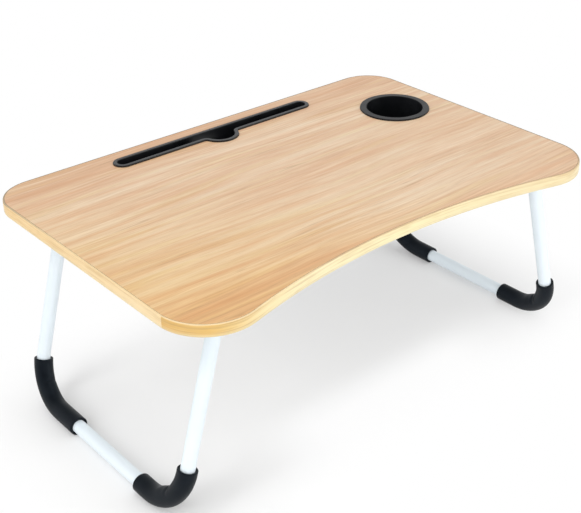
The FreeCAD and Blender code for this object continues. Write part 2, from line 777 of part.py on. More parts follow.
for item in doc.Objects:
    if "Invalid" in item.State or "Error" in item.State:
        raise ValueError(f"{item.Label} failed: {item.State}")
for body in nodes:
    if body.Shape.isNull() or not body.Shape.isValid():
        raise ValueError(f"{body.Label} has no valid shape")

os.makedirs("parts", exist_ok=True)
for body in nodes:
    body.Shape.exportStep(f"parts/{body.Label}.step")
print(f"{len(nodes)} nodes, {sum(len(body.Shape.Solids) for body in nodes)} solids")
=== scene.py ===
import math

import bmesh
import bpy
from mathutils import Matrix, Vector


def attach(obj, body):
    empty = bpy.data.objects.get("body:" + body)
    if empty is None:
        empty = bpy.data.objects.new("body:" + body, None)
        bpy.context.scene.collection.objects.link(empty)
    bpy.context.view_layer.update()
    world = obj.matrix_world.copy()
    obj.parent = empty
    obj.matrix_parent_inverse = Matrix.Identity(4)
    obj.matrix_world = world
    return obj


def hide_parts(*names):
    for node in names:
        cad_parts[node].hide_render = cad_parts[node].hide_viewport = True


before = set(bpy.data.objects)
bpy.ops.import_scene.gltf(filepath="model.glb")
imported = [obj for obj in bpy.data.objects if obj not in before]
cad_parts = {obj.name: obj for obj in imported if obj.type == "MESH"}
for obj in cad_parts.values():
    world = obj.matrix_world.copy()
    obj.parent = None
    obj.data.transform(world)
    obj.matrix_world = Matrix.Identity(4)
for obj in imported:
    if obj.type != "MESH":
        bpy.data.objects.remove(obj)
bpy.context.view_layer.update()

# A folding laptop table in its CAD frame: X along the board, Y to the back, Z up, all in metres.

# Board, with the butt joint of its edge strip just past the start of the left front corner
BOARD_LENGTH, BOARD_DEPTH = 0.600, 0.400
TOP_Z, UNDERSIDE_Z = 0.255, 0.241
REAR_CORNER_RADIUS, FRONT_CORNER_RADIUS = 0.047, 0.059
FRONT_DIP = 0.0325
BAND_THICKNESS = 0.002
STRIP_JOINT = (-0.2997, -0.1475)

# Legs, turned about pins under the board and leaning outwards
HINGE_X, HINGE_Z = 0.2392, 0.229
LEG_SPLAY = math.radians(15.4)
FRONT_LEG_Y, REAR_LEG_Y = -0.152, 0.141
LEG_REACH = 0.22628
BEND_RADIUS = 0.054
TUBE_RADIUS, SLEEVE_RADIUS = 0.008, 0.01125

CORNERS = ("left_front", "left_rear", "right_front", "right_rear")


class Nodes:
    """Short calls for the nodes of one tree."""

    def __init__(self, tree):
        self.tree = tree
        tree.nodes.clear()

    def feed(self, socket, source):
        if isinstance(source, bpy.types.NodeSocket):
            self.tree.links.new(source, socket)
        elif isinstance(source, tuple) and len(source) == 3 and socket.type == "RGBA":
            socket.default_value = (*source, 1.0)
        else:
            socket.default_value = source

    def add(self, kind, inputs, **settings):
        node = self.tree.nodes.new(kind)
        for name, setting in settings.items():
            setattr(node, name, setting)
        for name, source in inputs.items():
            self.feed(node.inputs[name], source)
        return node

    def math(self, operation, first, second=0.0, third=0.0):
        return self.add("ShaderNodeMath", {0: first, 1: second, 2: third}, operation=operation).outputs[0]

    def vector_math(self, operation, first, second):
        return self.add("ShaderNodeVectorMath", {0: first, 1: second}, operation=operation).outputs

    def stretch(self, vector, scale):
        return self.vector_math("MULTIPLY", vector, scale)[0]

    def shift(self, vector, offset):
        return self.vector_math("ADD", vector, offset)[0]

    def combine(self, x, y, z):
        return self.add("ShaderNodeCombineXYZ", {0: x, 1: y, 2: z}).outputs[0]

    def separate(self, vector):
        return self.add("ShaderNodeSeparateXYZ", {0: vector}).outputs

    def centred(self, noise):
        """Noise about 0 in place of 0.5."""
        return self.math("SUBTRACT", noise, 0.5)

    def distance(self, source, middle):
        return self.math("ABSOLUTE", self.math("SUBTRACT", source, middle))

    def noise(self, vector, scale, detail=2.0, roughness=0.5):
        inputs = {"Vector": vector, "Scale": scale, "Detail": detail, "Roughness": roughness}
        return self.add("ShaderNodeTexNoise", inputs).outputs["Fac"]

    def range(self, source, low, high, to_low=0.0, to_high=1.0):
        """Map a number from one range to another, with smooth ends."""
        inputs = {"Value": source, "From Min": low, "From Max": high, "To Min": to_low, "To Max": to_high}
        return self.add("ShaderNodeMapRange", inputs, interpolation_type="SMOOTHSTEP").outputs["Result"]

    def ramp(self, source, stops):
        node = self.add("ShaderNodeValToRGB", {"Fac": source})
        elements = node.color_ramp.elements
        for element, (position, _) in zip(elements, stops):
            element.position = position
        for position, _ in stops[len(elements):]:
            elements.new(position)
        for element, (_, color) in zip(elements, stops):
            element.color = (*color, 1.0)
        return node.outputs["Color"]

    def mix(self, share, first, second, blend="MIX"):
        node = self.tree.nodes.new("ShaderNodeMix")
        node.data_type = "RGBA"
        node.blend_type = blend
        for index, source in ((0, share), (6, first), (7, second)):
            self.feed(node.inputs[index], source)
        return node.outputs[2]

    def bump(self, height, distance, strength):
        inputs = {"Height": height, "Distance": distance, "Strength": strength}
        return self.add("ShaderNodeBump", inputs).outputs["Normal"]


class Surface(Nodes):
    """A material with one principled shader, and the nodes that feed it."""

    def __init__(self, name, **values):
        self.material = bpy.data.materials.new(name)
        self.material.use_nodes = True
        super().__init__(self.material.node_tree)
        self.shader = self.add("ShaderNodeBsdfPrincipled", {})
        self.add("ShaderNodeOutputMaterial", {"Surface": self.shader.outputs["BSDF"]})
        self.place = self.add("ShaderNodeTexCoord", {}).outputs["Object"]
        self.set(**values)

    def set(self, **values):
        """Give the shader's sockets values or links, with underscores for the spaces in their names."""
        for name, source in values.items():
            self.feed(self.shader.inputs[name.replace("_", " ")], source)


# Board materials

# Oak print: the drift of its grain, the weight of each layer, and its tones from dark to light
GRAIN_WAVE = 0.030
BAND_WEIGHT, STREAK_WEIGHT, FINE_WEIGHT, FIBRE_WEIGHT = 0.42, 0.92, 0.50, 0.80
FRONT_CALM, FINE_SHADE = 0.62, 0.20
PORE_RELIEF, FIBRE_RELIEF = -2.0, 0.5
TOWARDS_LEFT, TOWARDS_FRONT = -1.1, -1.4
OAK_TONES = (
    (0.20, (0.655, 0.395, 0.230)),
    (0.38, (0.702, 0.458, 0.288)),
    (0.50, (0.730, 0.515, 0.335)),
    (0.62, (0.755, 0.568, 0.392)),
    (0.80, (0.790, 0.630, 0.465)),
)
OAK_BLUSH, OAK_STRAW = (1.000, 0.930, 0.880), (1.000, 1.020, 0.900)
OAK_LINE, OAK_PORE = (0.470, 0.285, 0.165), (0.360, 0.220, 0.130)
OAK_GOLDEN = (1.0, 0.882, 0.615)


class OakPrint(Surface):
    """Pale oak print with its grain along X: soft bands, streaks, thin dark lines, fibres and pores."""

    def __init__(self, name, **values):
        super().__init__(name, **values)
        self.x, self.y, _ = self.separate(self.place)
        drift = self.noise(self.stretch(self.place, (1.0, 2.0, 0.0)), scale=2.8, detail=1.0)
        self.wavy_y = self.math("MULTIPLY_ADD", self.centred(drift), GRAIN_WAVE, self.y)
        self.grain = self.combine(self.x, self.wavy_y, 0.0)
        front = self.math("MULTIPLY", self.y, TOWARDS_FRONT)
        self.front_left = self.math("MULTIPLY_ADD", self.x, TOWARDS_LEFT, front)
        self.fibres = self.layer(along=36.0, across=1050.0, detail=2.0, seed=5.9)
        self.fine = self.fine_grain()

    def layer(self, along, across, detail, seed):
        """Noise drawn out along the grain, by its scale along and across; the seed tells layers apart."""
        drawn_out = self.stretch(self.grain, (along, across, 1.0))
        return self.noise(self.shift(drawn_out, (seed, 0.0, seed)), 1.0, detail, roughness=0.55)

    def fine_grain(self):
        """Threads, closer in some bands than in others, and fibres."""
        threads = self.layer(along=10.0, across=330.0, detail=2.0, seed=1.3)
        bands = self.layer(along=1.3, across=13.0, detail=1.0, seed=6.6)
        crowding = self.range(bands, 0.42, 0.62, 0.55, 1.25)
        fine = self.math("MULTIPLY", self.centred(threads), crowding)
        return self.math("MULTIPLY_ADD", self.centred(self.fibres), FIBRE_WEIGHT, fine)

    def tone(self):
        """Dark to light over the print: slow washes over the board, then bands, streaks and fine grain."""
        # Each wash: the measure that it follows, where it starts and ends, and its change of tone
        washes = (
            (self.y, 0.110, 0.160, -0.12),
            (self.wavy_y, -0.130, -0.165, -0.12),
            (self.x, -0.200, -0.280, 0.05),
            (self.front_left, 0.40, 0.53, -0.11),
            (self.y, -0.020, -0.070, 0.06),
            (self.x, 0.100, 0.260, -0.06),
        )
        tone = 0.5
        for place, start, end, change in washes:
            tone = self.math("ADD", tone, self.range(place, start, end, 0.0, change))
        bands = self.layer(along=1.6, across=22.0, detail=2.0, seed=3.1)
        tone = self.math("MULTIPLY_ADD", self.centred(bands), BAND_WEIGHT, tone)
        streaks = self.layer(along=5.0, across=105.0, detail=2.0, seed=7.7)
        figure = self.math("MULTIPLY", self.centred(streaks), STREAK_WEIGHT)
        figure = self.math("MULTIPLY_ADD", self.fine, FINE_WEIGHT, figure)
        contrast = self.range(self.wavy_y, -0.120, -0.160, 1.0, FRONT_CALM)
        return self.math("MULTIPLY_ADD", figure, contrast, tone)

    def tinted(self, base):
        """Pinker and yellower streaks, and the shade of the fine grain."""
        blush = self.layer(along=4.0, across=70.0, detail=2.0, seed=8.8)
        base = self.mix(self.range(blush, 0.52, 0.66, 0.0, 0.6), base, OAK_BLUSH, "MULTIPLY")
        base = self.mix(self.range(blush, 0.48, 0.34, 0.0, 0.6), base, OAK_STRAW, "MULTIPLY")
        shade = self.math("MULTIPLY_ADD", self.fine, FINE_SHADE, 1.0)
        return self.mix(1.0, base, self.combine(shade, shade, shade), "MULTIPLY")

    def dark_lines(self):
        """Share of the thin dark lines, which follow the contours of a noise and come and go in bands."""
        contour = self.layer(along=3.2, across=150.0, detail=1.0, seed=11.4)
        line = self.range(self.distance(contour, 0.5), 0.022, 0.004)
        bands = self.layer(along=2.0, across=30.0, detail=1.0, seed=2.2)
        return self.math("MULTIPLY", line, self.range(bands, 0.47, 0.62, 0.0, 0.42))


def make_top_laminate():
    s = OakPrint("top_laminate", IOR=1.48, Specular_IOR_Level=0.5)
    base = s.tinted(s.ramp(s.tone(), OAK_TONES))
    base = s.mix(s.dark_lines(), base, OAK_LINE)
    flecks = s.layer(along=60.0, across=1900.0, detail=1.0, seed=9.6)
    pores = s.range(flecks, 0.66, 0.76, 0.0, 0.30)
    base = s.mix(pores, base, OAK_PORE)
    base = s.mix(s.range(s.front_left, -0.04, 0.58), base, OAK_GOLDEN, "MULTIPLY")
    relief = s.math("MULTIPLY_ADD", pores, PORE_RELIEF, s.math("MULTIPLY", s.fibres, FIBRE_RELIEF))
    s.set(
        Base_Color=base,
        Roughness=s.range(s.fibres, 0.3, 0.7, 0.40, 0.50),
        Normal=s.bump(relief, distance=0.00004, strength=0.6),
    )
    return s.material


# Colours along the edge strip, from its start to its end: on its face and on its upper lip
# The face's tones: print, golden at the joint, with painted light making them palest along the front
STRIP_PRINT_AND_LIGHT = (
    (0.000, (0.650, 0.395, 0.120)),
    (0.025, (0.720, 0.465, 0.145)),
    (0.045, (0.860, 0.700, 0.370)),
    (0.065, (0.870, 0.760, 0.465)),
    (0.180, (0.860, 0.760, 0.450)),
    (0.300, (0.768, 0.640, 0.380)),
    (0.600, (0.780, 0.640, 0.360)),
    (0.860, (0.800, 0.560, 0.265)),
    (1.000, (0.830, 0.640, 0.365)),
)
# The lip's tones carry painted shade: darker along the front, near black round the right end and the rear
LIP_TONES_AND_SHADE = (
    (0.000, (0.850, 0.670, 0.400)),
    (0.060, (0.850, 0.670, 0.400)),
    (0.090, (0.600, 0.420, 0.240)),
    (0.322, (0.600, 0.420, 0.240)),
    (0.355, (0.250, 0.200, 0.155)),
    (0.820, (0.210, 0.170, 0.135)),
    (0.900, (0.780, 0.590, 0.330)),
    (1.000, (0.830, 0.640, 0.365)),
)
STRIP_DARK, STRIP_PALE, STRIP_PATCH = (0.500, 0.300, 0.110), (0.880, 0.770, 0.530), (0.560, 0.370, 0.140)
# Painted shading by height on the face: a paler foot, and a darker line just under the top
STRIP_FOOT_SHADE, STRIP_SHADE_LINE = (0.720, 0.640, 0.430), (0.520, 0.300, 0.090)
FOOT_HEIGHT = 0.006
SHADE_LINE_DROP, SHADE_LINE_HALF, SHADE_LINE_CORE = 0.0028, 0.0016, 0.0002


def strip_share(s):
    """How far along the edge strip a place is, as a turn round the board's middle from the joint."""
    joint_angle = math.atan2(STRIP_JOINT[1], STRIP_JOINT[0])
    turn = {"Vector": s.place, "Rotation": (0.0, 0.0, math.pi - joint_angle)}
    turned = s.add("ShaderNodeMapping", turn, vector_type="POINT").outputs[0]
    return s.add("ShaderNodeTexGradient", {"Vector": turned}, gradient_type="RADIAL").outputs["Fac"]


def strip_lines(s, tone, along, lines):
    """Dark and pale lines along the strip, and darker patches."""
    patches = s.noise(s.stretch(s.place, (26.0, 26.0, 160.0)), scale=1.0, detail=2.0, roughness=0.6)
    dark_line = s.math("MULTIPLY", s.range(lines, 0.48, 0.66), s.range(along, 0.035, 0.07, 0.62, 0.36))
    tone = s.mix(dark_line, tone, STRIP_DARK)
    tone = s.mix(s.range(lines, 0.46, 0.30, 0.0, 0.30), tone, STRIP_PALE)
    return s.mix(s.range(patches, 0.50, 0.72, 0.0, 0.25), tone, STRIP_PATCH)


def strip_edges(s, tone, along):
    """Painted shading by height, a paler foot and a darker line under the top, then the lip that turns up
    to the top.
    """
    height = s.separate(s.place)[2]
    foot = s.range(height, UNDERSIDE_Z + FOOT_HEIGHT, UNDERSIDE_Z, 0.0, 0.45)
    tone = s.mix(foot, tone, STRIP_FOOT_SHADE)
    shade_line = s.range(s.distance(height, TOP_Z - SHADE_LINE_DROP), SHADE_LINE_HALF, SHADE_LINE_CORE)
    shade_line = s.math("MULTIPLY", shade_line, s.range(along, 0.03, 0.07, 0.30, 0.10))
    tone = s.mix(shade_line, tone, STRIP_SHADE_LINE)
    # Where the surface turns up into the lip it takes the lip's tones, with their painted shade
    normal_z = s.separate(s.add("ShaderNodeTexCoord", {}).outputs["Normal"])[2]
    return s.mix(s.range(normal_z, 0.30, 0.80, 0.0, 0.90), tone, s.ramp(along, LIP_TONES_AND_SHADE))


def make_edge_band():
    """Yellower print of fine lines along the strip, golden at its start and pale further on, the paleness
    partly painted light.
    """
    s = Surface("edge_band", IOR=1.48, Specular_IOR_Level=0.5)
    along = strip_share(s)
    lines = s.noise(s.stretch(s.place, (13.0, 13.0, 520.0)), scale=1.0, detail=3.0, roughness=0.6)
    tone = strip_lines(s, s.ramp(along, STRIP_PRINT_AND_LIGHT), along, lines)
    s.set(
        Base_Color=strip_edges(s, tone, along),
        Roughness=s.range(lines, 0.3, 0.7, 0.36, 0.48),
        Normal=s.bump(lines, distance=0.00003, strength=0.5),
    )
    return s.material


def make_bottom_laminate():
    """Off-white backing sheet with faint paper fibres and a fine stipple."""
    s = Surface("bottom_laminate", IOR=1.46, Specular_IOR_Level=0.4)
    sheet, fibre, clouded = (0.740, 0.735, 0.720), (0.660, 0.650, 0.630), (0.790, 0.785, 0.770)
    fibres = s.noise(s.stretch(s.place, (60.0, 420.0, 1.0)), scale=1.0, detail=3.0, roughness=0.6)
    cloud = s.noise(s.place, scale=9.0, detail=3.0)
    stipple = s.noise(s.place, scale=1800.0, detail=1.0)
    base = s.mix(s.range(fibres, 0.4, 0.7, 0.0, 0.5), sheet, fibre)
    s.set(
        Base_Color=s.mix(s.range(cloud, 0.35, 0.65, 0.0, 0.25), base, clouded),
        Roughness=s.range(cloud, 0.3, 0.7, 0.52, 0.62),
        Normal=s.bump(stipple, distance=0.00005, strength=0.4),
    )
    return s.material


CORE_TONES = ((0.35, (0.300, 0.200, 0.120)), (0.65, (0.520, 0.390, 0.260)))


def make_core():
    """Raw fibreboard, seen only in the cut edges."""
    s = Surface("core_board", Roughness=0.85)
    flakes = s.noise(s.place, scale=700.0, detail=3.0, roughness=0.65)
    s.set(Base_Color=s.ramp(flakes, CORE_TONES), Normal=s.bump(flakes, distance=0.0001, strength=0.6))
    return s.material


# Plastic, paint, rubber and metal

BLACK, SOFT_BLACK = (0.0060, 0.0066, 0.0080), (0.0110, 0.0118, 0.0138)
CHARCOAL, SOFT_CHARCOAL = (0.020, 0.020, 0.021), (0.032, 0.032, 0.033)
GREY, SOFT_GREY = (0.62, 0.63, 0.64), (0.70, 0.71, 0.72)
PAINT, PALE_PAINT = (0.762, 0.840, 0.890), (0.787, 0.855, 0.900)
RUBBER, DUSTY_RUBBER = (0.0036, 0.0051, 0.0076), (0.0068, 0.0090, 0.0127)
RUBBER_SPECK, RUBBER_GLOSS_TINT = (0.026, 0.030, 0.036), (0.72, 0.86, 1.0)
PIN_STEEL, SCREW_STEEL = (0.62, 0.62, 0.63), (0.58, 0.58, 0.57)
DULL_STEEL_SHARE = 0.8


def make_moulded_plastic(name, dark, light, gloss, rough, grain_scale, grain_depth):
    """Moulded plastic: a fine grain, faint clouding and slightly uneven gloss."""
    s = Surface(name, IOR=1.50, Specular_IOR_Level=gloss)
    cloud = s.noise(s.place, scale=35.0, detail=3.0)
    grain = s.noise(s.place, grain_scale, detail=2.0, roughness=0.6)
    s.set(
        Base_Color=s.mix(s.range(cloud, 0.3, 0.7), dark, light),
        Roughness=s.range(cloud, 0.3, 0.7, *rough),
        Normal=s.bump(grain, grain_depth, strength=0.5),
    )
    return s.material


def make_leg_paint():
    """White powder coat with a fine orange-peel skin."""
    s = Surface("leg_paint", IOR=1.50, Specular_IOR_Level=0.5)
    peel = s.noise(s.place, scale=900.0, detail=2.0, roughness=0.5)
    cloud = s.noise(s.place, scale=14.0, detail=2.0)
    s.set(
        Base_Color=s.mix(s.range(cloud, 0.3, 0.7), PAINT, PALE_PAINT),
        Roughness=s.range(peel, 0.3, 0.7, 0.28, 0.38),
        Normal=s.bump(peel, distance=0.00006, strength=0.5),
    )
    return s.material


def make_sleeve_rubber():
    """Matt charcoal rubber with a slightly dusty, mottled skin."""
    s = Surface("sleeve_rubber", IOR=1.50, Specular_IOR_Level=0.16, Specular_Tint=RUBBER_GLOSS_TINT)
    cloud = s.noise(s.place, scale=40.0, detail=4.0, roughness=0.6)
    speck = s.noise(s.place, scale=1500.0, detail=2.0)
    base = s.mix(s.range(cloud, 0.35, 0.7), RUBBER, DUSTY_RUBBER)
    s.set(
        Base_Color=s.mix(s.range(speck, 0.62, 0.74, 0.0, 0.25), base, RUBBER_SPECK),
        Roughness=s.range(cloud, 0.3, 0.7, 0.40, 0.52),
        Normal=s.bump(speck, distance=0.00005, strength=0.5),
    )
    return s.material


def make_steel(name, color, rough):
    """Plated steel with fine turning marks."""
    s = Surface(name, Metallic=1.0)
    marks = s.noise(s.stretch(s.place, (260.0, 260.0, 2600.0)), scale=1.0, detail=2.0)
    cloud = s.noise(s.place, scale=180.0, detail=2.0)
    dull = tuple(DULL_STEEL_SHARE * part for part in color)
    s.set(
        Base_Color=s.mix(s.range(cloud, 0.3, 0.7, 0.0, 0.5), color, dull),
        Roughness=s.range(marks, 0.3, 0.7, *rough),
        Normal=s.bump(marks, distance=0.00002, strength=0.4),
    )
    return s.material


def dress(material, *nodes):
    """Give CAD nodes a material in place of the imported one."""
    for node in nodes:
        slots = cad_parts[node].data.materials
        slots.clear()
        slots.append(material)


def each_corner(piece):
    return [f"{corner}_{piece}" for corner in CORNERS]


def dress_board():
    dress(make_top_laminate(), "top_laminate")
    dress(make_edge_band(), "edge_band")
    dress(make_bottom_laminate(), "bottom_laminate")
    dress(make_core(), "board_core")
    slot_plastic = make_moulded_plastic("slot_plastic", BLACK, SOFT_BLACK, gloss=0.44, rough=(0.26, 0.34),
                                        grain_scale=1300.0, grain_depth=0.00004)
    dress(slot_plastic, "device_slot_trim")
    cup_plastic = make_moulded_plastic("cup_plastic", BLACK, SOFT_BLACK, gloss=0.30, rough=(0.34, 0.42),
                                       grain_scale=1300.0, grain_depth=0.00004)
    dress(cup_plastic, "cup_holder")


def dress_legs():
    bracket_plastic = make_moulded_plastic("bracket_plastic", CHARCOAL, SOFT_CHARCOAL, gloss=0.5,
                                           rough=(0.48, 0.58), grain_scale=900.0, grain_depth=0.00008)
    dress(bracket_plastic, *each_corner("hinge_bracket"))
    plug_plastic = make_moulded_plastic("plug_plastic", GREY, SOFT_GREY, gloss=0.5, rough=(0.45, 0.55),
                                        grain_scale=900.0, grain_depth=0.00005)
    dress(plug_plastic, *each_corner("tube_plug"))
    dress(make_leg_paint(), "left_leg_tube", "right_leg_tube")
    dress(make_steel("pin_steel", PIN_STEEL, rough=(0.24, 0.34)), *each_corner("hinge_pin"))
    dress(make_steel("screw_steel", SCREW_STEEL, rough=(0.30, 0.40)), *each_corner("bracket_screws"))


# Pieces made here

def add_piece(name, mesh, material, body):
    """Put a mesh in the scene as a piece that rides on a body."""
    mesh.materials.append(material)
    piece = bpy.data.objects.new(name, mesh)
    bpy.context.scene.collection.objects.link(piece)
    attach(piece, body)
    return piece


def join_rings(name, rings):
    """A smooth mesh through rings of points, each joined to the next and the last to the first."""
    mesh = bpy.data.meshes.new(name)
    form = bmesh.new()
    rows = [[form.verts.new(point) for point in ring] for ring in rings]
    count = len(rings[0])
    for row, here in enumerate(rows):
        there = rows[(row + 1) % len(rows)]
        for spot in range(count):
            beside = (spot + 1) % count
            form.faces.new((here[spot], here[beside], there[beside], there[spot]))
    bmesh.ops.recalc_face_normals(form, faces=form.faces)
    for face in form.faces:
        face.smooth = True
    form.to_mesh(mesh)
    form.free()
    return mesh


SLEEVE_AROUND, SLEEVE_ALONG, SLEEVE_BORE = 40, 84, 48
SLEEVE_FIT = 0.00005
SLEEVE_LIP = 0.0008
LIP_STEPS = 4
BORE_RADIUS = TUBE_RADIUS + SLEEVE_FIT
HALF_BEND = BEND_RADIUS * math.pi / 4

# Each hose: its length, its shift along the tube towards the bar, and how much its inner side buckles
SLEEVES = {
    "left_front": (0.104, 0.0070, 1.0),
    "left_rear": (0.115, 0.0245, 0.45),
    "right_front": (0.116, 0.0110, 0.9),
    "right_rear": (0.114, 0.0115, 0.5),
}

# Folds on the inside of a bend: place along the hose from the bend's middle, half width and height
FOLDS = (
    (0.0130, 0.0085, 0.0010),
    (-0.0030, 0.0032, -0.0027),
    (-0.0115, 0.0045, -0.0005),
)
FOLD_FOCUS = 1.5


def leg_point(side, y, drop, out):
    """A point of a leaning leg: its Y, its distance down the leg from the pins, and its offset outwards."""
    x = HINGE_X + drop * math.sin(LEG_SPLAY) + out * math.cos(LEG_SPLAY)
    return Vector((side * x, y, HINGE_Z - drop * math.cos(LEG_SPLAY) + out * math.sin(LEG_SPLAY)))


def bend_line(step, leg_y, inwards):
    """The tube's middle line at a step along a bend: Y, distance down, and the way to the bend's inside."""
    centre_y, centre_drop = leg_y + inwards * BEND_RADIUS, LEG_REACH - BEND_RADIUS
    on_bend = min(max(step, -HALF_BEND), HALF_BEND)
    turn = on_bend / BEND_RADIUS + math.pi / 4
    past = step - on_bend
    y = centre_y - inwards * BEND_RADIUS * math.cos(turn)
    drop = centre_drop + BEND_RADIUS * math.sin(turn)
    if past > 0:
        y += inwards * past
    else:
        drop += past
    return y, drop, (inwards * math.cos(turn), -math.sin(turn))


def fold_rise(step, angle, buckle):
    """How far the hose's skin stands out from its round form, on the inside of the bend."""
    facing = max(0.0, math.cos(angle)) ** FOLD_FOCUS
    rise = sum(height * math.exp(-((step - place) / width) ** 2) for place, width, height in FOLDS)
    return buckle * facing * rise


def hose_rows(length, shift):
    """Steps and radii once round a hose's wall: up one end, along the skin, down and back in the bore."""
    start, end = shift - length / 2, shift + length / 2
    lip = [(start + SLEEVE_LIP, BORE_RADIUS)]
    for index in range(LIP_STEPS, -1, -1):
        turn = math.pi / 2 * index / LIP_STEPS
        radius = SLEEVE_RADIUS - SLEEVE_LIP * (1 - math.cos(turn))
        lip.append((start + SLEEVE_LIP * (1 - math.sin(turn)), radius))
    rows = list(lip)
    for index in range(1, SLEEVE_ALONG):
        share = index / SLEEVE_ALONG
        rows.append((start + SLEEVE_LIP + share * (length - 2 * SLEEVE_LIP), SLEEVE_RADIUS))
    rows += [(start + end - step, radius) for step, radius in reversed(lip)]
    for index in range(1, SLEEVE_BORE):
        share = index / SLEEVE_BORE
        rows.append((end - SLEEVE_LIP - share * (length - 2 * SLEEVE_LIP), BORE_RADIUS))
    return rows


def make_sleeve(corner, material):
    """A rubber hose over a bend, with rounded ends, buckled inside the bend and flat on the floor."""
    side = -1.0 if corner.startswith("left") else 1.0
    leg_y = FRONT_LEG_Y if corner.endswith("front") else REAR_LEG_Y
    inwards = 1.0 if leg_y < 0 else -1.0
    length, shift, buckle = SLEEVES[corner]
    rings = []
    for step, radius in hose_rows(length, shift):
        y, drop, (inner_y, inner_drop) = bend_line(step, leg_y, inwards)
        ring = []
        for index in range(SLEEVE_AROUND):
            angle = 2 * math.pi * index / SLEEVE_AROUND
            reach = radius
            if radius > BORE_RADIUS:
                reach += fold_rise(step, angle, buckle)
            across, out = reach * math.cos(angle), reach * math.sin(angle)
            point = leg_point(side, y + across * inner_y, drop + across * inner_drop, out)
            point.z = max(point.z, 0.0)
            ring.append(point)
        rings.append(ring)
    name = f"{corner}_rubber_sleeve"
    body = f"{corner.split('_')[0]}_leg"
    piece = add_piece(name, join_rings(name, rings), material, body)
    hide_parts(f"{corner}_foot_sleeve")


GLUE_WIDTH, GLUE_RISE = 0.00055, 0.00005
GLUE, PALE_GLUE = (0.080, 0.050, 0.028), (0.180, 0.115, 0.065)
REAR_STEPS, FRONT_STEPS, DIP_STEPS = 16, 24, 40


def arc_points(centre, radius, start, end, count):
    """Points along an arc from a start to an end angle in degrees, the end left out."""
    turns = [math.radians(start + (end - start) * index / count) for index in range(count)]
    return [(centre[0] + radius * math.cos(turn), centre[1] + radius * math.sin(turn)) for turn in turns]


def board_outline(inset):
    """The board's outline, moved inwards by an inset, round its four corners and the dip in its front."""
    rear_x = BOARD_LENGTH / 2 - REAR_CORNER_RADIUS
    rear_y = BOARD_DEPTH / 2 - REAR_CORNER_RADIUS
    front_x = BOARD_LENGTH / 2 - FRONT_CORNER_RADIUS
    front_y = BOARD_DEPTH / 2 - FRONT_CORNER_RADIUS
    between = (front_x ** 2 + FRONT_DIP ** 2) / (2 * FRONT_DIP)
    dip_radius = between - FRONT_CORNER_RADIUS
    dip_y = FRONT_DIP - BOARD_DEPTH / 2 - dip_radius
    lean = math.degrees(math.asin(front_x / between))
    rear, front = REAR_CORNER_RADIUS - inset, FRONT_CORNER_RADIUS - inset
    points = arc_points((rear_x, rear_y), rear, 0, 90, REAR_STEPS)
    points += arc_points((-rear_x, rear_y), rear, 90, 180, REAR_STEPS)
    points += arc_points((-front_x, -front_y), front, 180, 270 + lean, FRONT_STEPS)
    points += arc_points((0.0, dip_y), dip_radius + inset, 90 + lean, 90 - lean, DIP_STEPS)
    points += arc_points((front_x, -front_y), front, 270 - lean, 360, FRONT_STEPS)
    return points


def make_glue_line():
    """The dark hairline of glue between the top sheet and the edge strip."""
    s = Surface("glue", IOR=1.46, Specular_IOR_Level=0.3)
    runs = s.noise(s.place, scale=90.0, detail=2.0)
    s.set(
        Base_Color=s.mix(s.range(runs, 0.35, 0.65), GLUE, PALE_GLUE),
        Roughness=s.range(runs, 0.3, 0.7, 0.5, 0.7),
    )
    inner = board_outline(BAND_THICKNESS + GLUE_WIDTH / 2)
    outer = board_outline(BAND_THICKNESS - GLUE_WIDTH / 2)
    rings = []
    for (inner_x, inner_y), (outer_x, outer_y) in zip(inner, outer):
        rings.append([
            (inner_x, inner_y, TOP_Z - GLUE_RISE),
            ((inner_x + outer_x) / 2, (inner_y + outer_y) / 2, TOP_Z + GLUE_RISE),
            (outer_x, outer_y, TOP_Z - GLUE_RISE),
        ])
    add_piece("edge_glue_line", join_rings("edge_glue_line", rings), s.material, "table")


def make_pieces():
    rubber = make_sleeve_rubber()
    for corner in CORNERS:
        make_sleeve(corner, rubber)
    make_glue_line()


# Floor: a soft shadow under the board, fuller at the left, and a painted bright bay under the dip in the
# front

FLOOR_HALF = 12.0
# The shadow's reach is painted: white glow fills the real shadow outside a skewed box round the board
SHADOW_HALF_LENGTH, SHADOW_BLEND = 0.355, 0.08
SHADOW_DEPTH_LEFT, SHADOW_DEPTH_RIGHT = 0.185, 0.150
SHADOW_SHIFT, SHADOW_SKEW = -0.010, 0.22
LEFT_PART, RIGHT_PART = -0.24, -0.10
GLOW_LEFT, GLOW_RIGHT = 0.06, 0.22
GLOW_NEAR, GLOW_FAR = -0.06, 0.13
BAY_X, BAY_HALF, BAY_BLEND, BAY_PAINTED_LIGHT = 0.03, 0.10, 0.12, 0.85
BAY_BACK, BAY_FRONT = -0.055, -0.125

# Shade of the floor as it is seen, painted darker at the left, and as it lights the object from below
PAINTED_SHADE_LEFT, PAINTED_SHADE_RIGHT = 0.80, 0.86
# Its bounce is brighter at the right: painted light on the right leg and bar
BOUNCE_LIGHT_LEFT, BOUNCE_LIGHT_RIGHT = 0.76, 0.92
BOUNCE_FROM, BOUNCE_TO = -0.10, 0.20


def seen_share(s):
    """1 for rays that show the background to the camera, directly, in a reflection or through glass."""
    path = s.add("ShaderNodeLightPath", {}).outputs
    seen = s.math("MAXIMUM", path["Is Camera Ray"], path["Is Glossy Ray"])
    return s.math("MAXIMUM", seen, path["Is Transmission Ray"])


